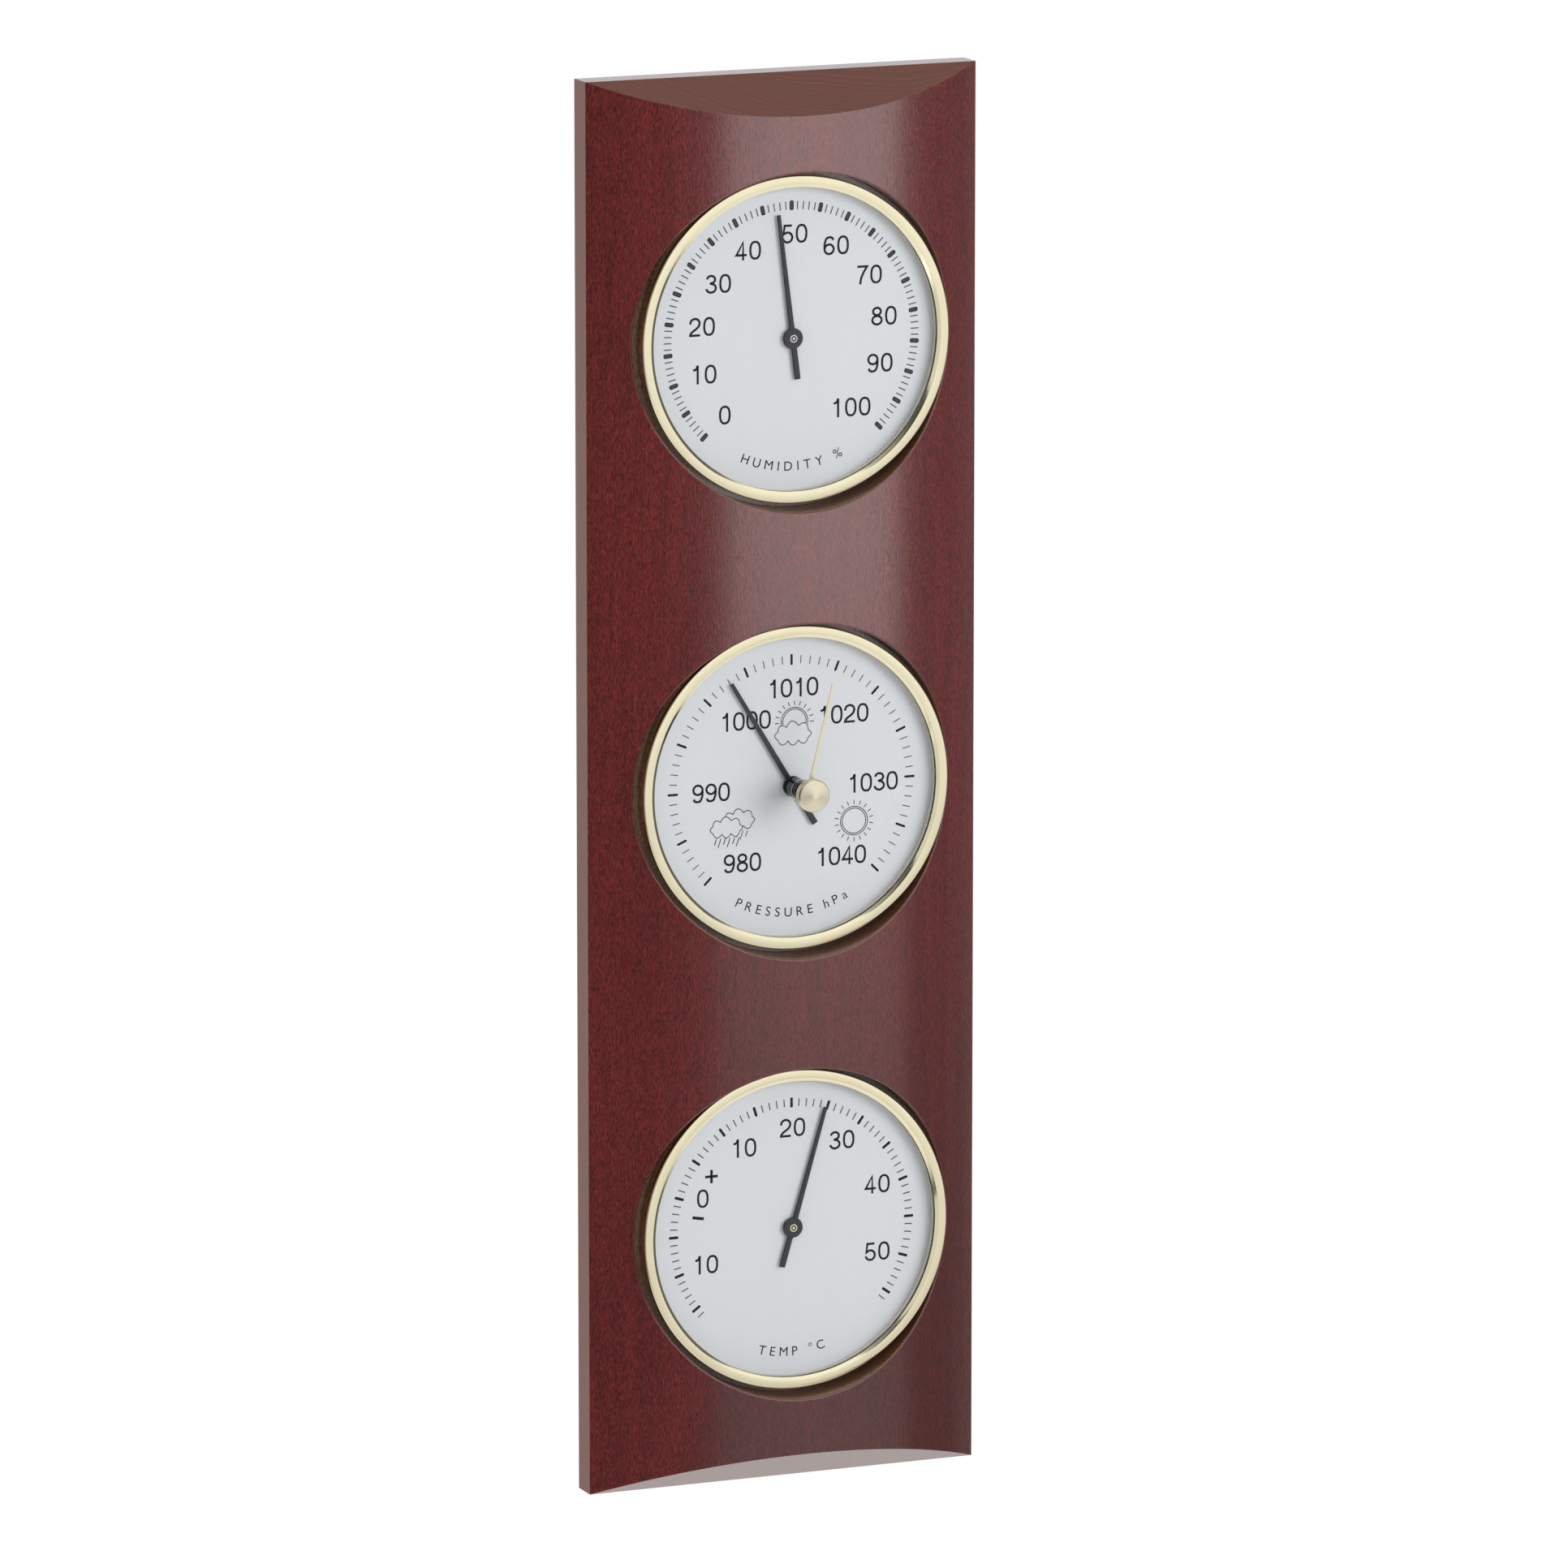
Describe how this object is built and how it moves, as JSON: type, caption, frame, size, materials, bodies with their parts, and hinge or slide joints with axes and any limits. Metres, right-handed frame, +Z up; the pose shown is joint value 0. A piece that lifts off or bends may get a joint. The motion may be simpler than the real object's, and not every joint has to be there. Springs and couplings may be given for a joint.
{
  "type": "wall weather station",
  "caption": "Upright bulged mahogany board for a wall with round brass-rimmed hygrometer, barometer and thermometer, their pointers, movements and a set hand with knob.",
  "frame": {"origin": "centre of the board's back face, on the wall plane", "axes": "+Z up along the board, +Y into the wall, +X to the viewer's right; the dials face -Y"},
  "size_m": [0.1068, 0.0301, 0.365],
  "materials": {
    "mahogany": "satin stained and lacquered",
    "polished_brass": "polished pale brass",
    "spacer_brass": "polished",
    "knob_brass": "fine turned",
    "dull_brass": "brushed",
    "plated_steel": "nickel plated",
    "case_metal": "spun",
    "band_rubber": "matte",
    "dial_paint": "matte silver grey paint with black print",
    "pointer_black": "satin black",
    "glass": "clear",
    "spring_strip": "bright strip",
    "capsule_metal": "bright pressed sheet",
    "black_plastic": "gloss",
    "pale_metal": "bright"
  },
  "bodies": {
    "board": {"wood_board": "mahogany", "hanger_plate": "plated_steel", "hanger_screws": "plated_steel", "hygro_case": "case_metal", "hygro_grip_band": "band_rubber", "hygro_dial": "dial_paint", "hygro_spacer_ring": "spacer_brass", "hygro_glass": "glass", "hygro_bezel": "polished_brass", "hygro_dial_bush": "dull_brass", "thermo_case": "case_metal", "thermo_grip_band": "band_rubber", "thermo_dial": "dial_paint", "thermo_spacer_ring": "spacer_brass", "thermo_glass": "glass", "thermo_bezel": "polished_brass", "thermo_dial_bush": "dull_brass", "baro_case": "case_metal", "baro_grip_band": "band_rubber", "baro_dial": "dial_paint", "baro_spacer_ring": "spacer_brass", "baro_glass": "glass", "baro_bezel": "polished_brass", "baro_base_plate": "dull_brass", "baro_plate_screws": "plated_steel", "baro_capsule_rear": "capsule_metal", "baro_capsule_front": "capsule_metal", "baro_rear_plate": "dull_brass", "baro_front_plate": "dull_brass", "baro_pillars": "dull_brass", "baro_pillar_screws": "plated_steel", "baro_shaft_bearings": "dull_brass", "baro_hairspring": "spring_strip", "baro_hairspring_stud": "dull_brass", "baro_glass_bush": "black_plastic", "baro_bush_washer": "pale_metal"},
    "hygro_regulator": {"hygro_regulator": "dull_brass", "hygro_coil": "spring_strip"},
    "hygro_pointer": {"hygro_pointer": "pointer_black", "hygro_arbor": "dull_brass"},
    "thermo_regulator": {"thermo_regulator": "dull_brass", "thermo_coil": "spring_strip"},
    "thermo_pointer": {"thermo_pointer": "pointer_black", "thermo_arbor": "dull_brass"},
    "baro_sector": {"baro_sector_gear": "dull_brass", "baro_sector_arbor": "plated_steel"},
    "baro_pointer": {"baro_pointer": "pointer_black", "baro_pointer_arbor": "plated_steel", "baro_pinion": "dull_brass"},
    "baro_rocker": {"baro_rocking_shaft": "plated_steel", "baro_rocker_arms": "plated_steel"},
    "baro_link": {"baro_link": "plated_steel"},
    "baro_capsule_head": {"baro_capsule_post": "dull_brass"},
    "baro_set_hand": {"baro_knob_shaft": "plated_steel", "baro_knob_collar": "black_plastic", "baro_set_hand": "knob_brass", "baro_set_knob": "knob_brass"},
    "baro_adjuster": {"baro_adjusting_screw": "plated_steel"}
  },
  "joints": [
    {"name": "hygro_regulator_turn", "type": "hinge", "parent": "board", "child": "hygro_regulator", "pos_m": [0, 0, 0.1154], "axis": [0, 1, 0], "range_deg": [-20, 20]},
    {"name": "hygro_pointer_swing", "type": "hinge", "parent": "hygro_regulator", "child": "hygro_pointer", "pos_m": [0, 0, 0.1154], "axis": [0, 1, 0], "range_deg": [-128, 142], "stiffness_Nm_per_rad": 0.00015, "deforming": ["hygro_coil"]},
    {"name": "thermo_regulator_turn", "type": "hinge", "parent": "board", "child": "thermo_regulator", "pos_m": [0, 0, -0.1154], "axis": [0, 1, 0], "range_deg": [-20, 20]},
    {"name": "thermo_pointer_swing", "type": "hinge", "parent": "thermo_regulator", "child": "thermo_pointer", "pos_m": [0, 0, -0.1154], "axis": [0, 1, 0], "range_deg": [-146.1, 113.1], "stiffness_Nm_per_rad": 0.00015, "deforming": ["thermo_coil"]},
    {"name": "baro_sector_swing", "type": "hinge", "parent": "board", "child": "baro_sector", "pos_m": [0.014, 0, 0.014], "axis": [0, 1, 0], "range_deg": [-16.64, 10.36]},
    {"name": "baro_pointer_swing", "type": "hinge", "parent": "board", "child": "baro_pointer", "pos_m": [0, 0, 0], "axis": [0, 1, 0], "range_deg": [-103.6, 166.4], "deforming": ["baro_hairspring"]},
    {"name": "baro_rocker_tilt", "type": "hinge", "parent": "board", "child": "baro_rocker", "pos_m": [0, -0.0072, -0.002], "axis": [1, 0, 0], "range_deg": [-7.96, 4.96]},
    {"name": "baro_link_slide", "type": "slide", "parent": "board", "child": "baro_link", "axis": [0, 0, 1], "range_m": [-0.00028988, 0.00046561]},
    {"name": "baro_capsule_breathe", "type": "slide", "parent": "board", "child": "baro_capsule_head", "axis": [0, -1, 0], "range_m": [-0.00027797, 0.00017307], "deforming": ["baro_capsule_front"]},
    {"name": "baro_set_hand_turn", "type": "hinge", "parent": "board", "child": "baro_set_hand", "pos_m": [0, 0, 0], "axis": [0, 1, 0], "continuous": true},
    {"name": "baro_adjuster_turn", "type": "hinge", "parent": "board", "child": "baro_adjuster", "pos_m": [0, 0, -0.0125], "axis": [0, 1, 0], "range_deg": [-180, 180]}
  ],
  "couplings": [
    {"joint": "baro_pointer_swing", "follows": "baro_sector_swing", "ratio": -10},
    {"joint": "baro_rocker_tilt", "follows": "baro_sector_swing", "ratio": 0.47761},
    {"joint": "baro_link_slide", "follows": "baro_sector_swing", "m_per_rad": -0.0016},
    {"joint": "baro_capsule_breathe", "follows": "baro_sector_swing", "m_per_rad": 0.00095522}
  ]
}
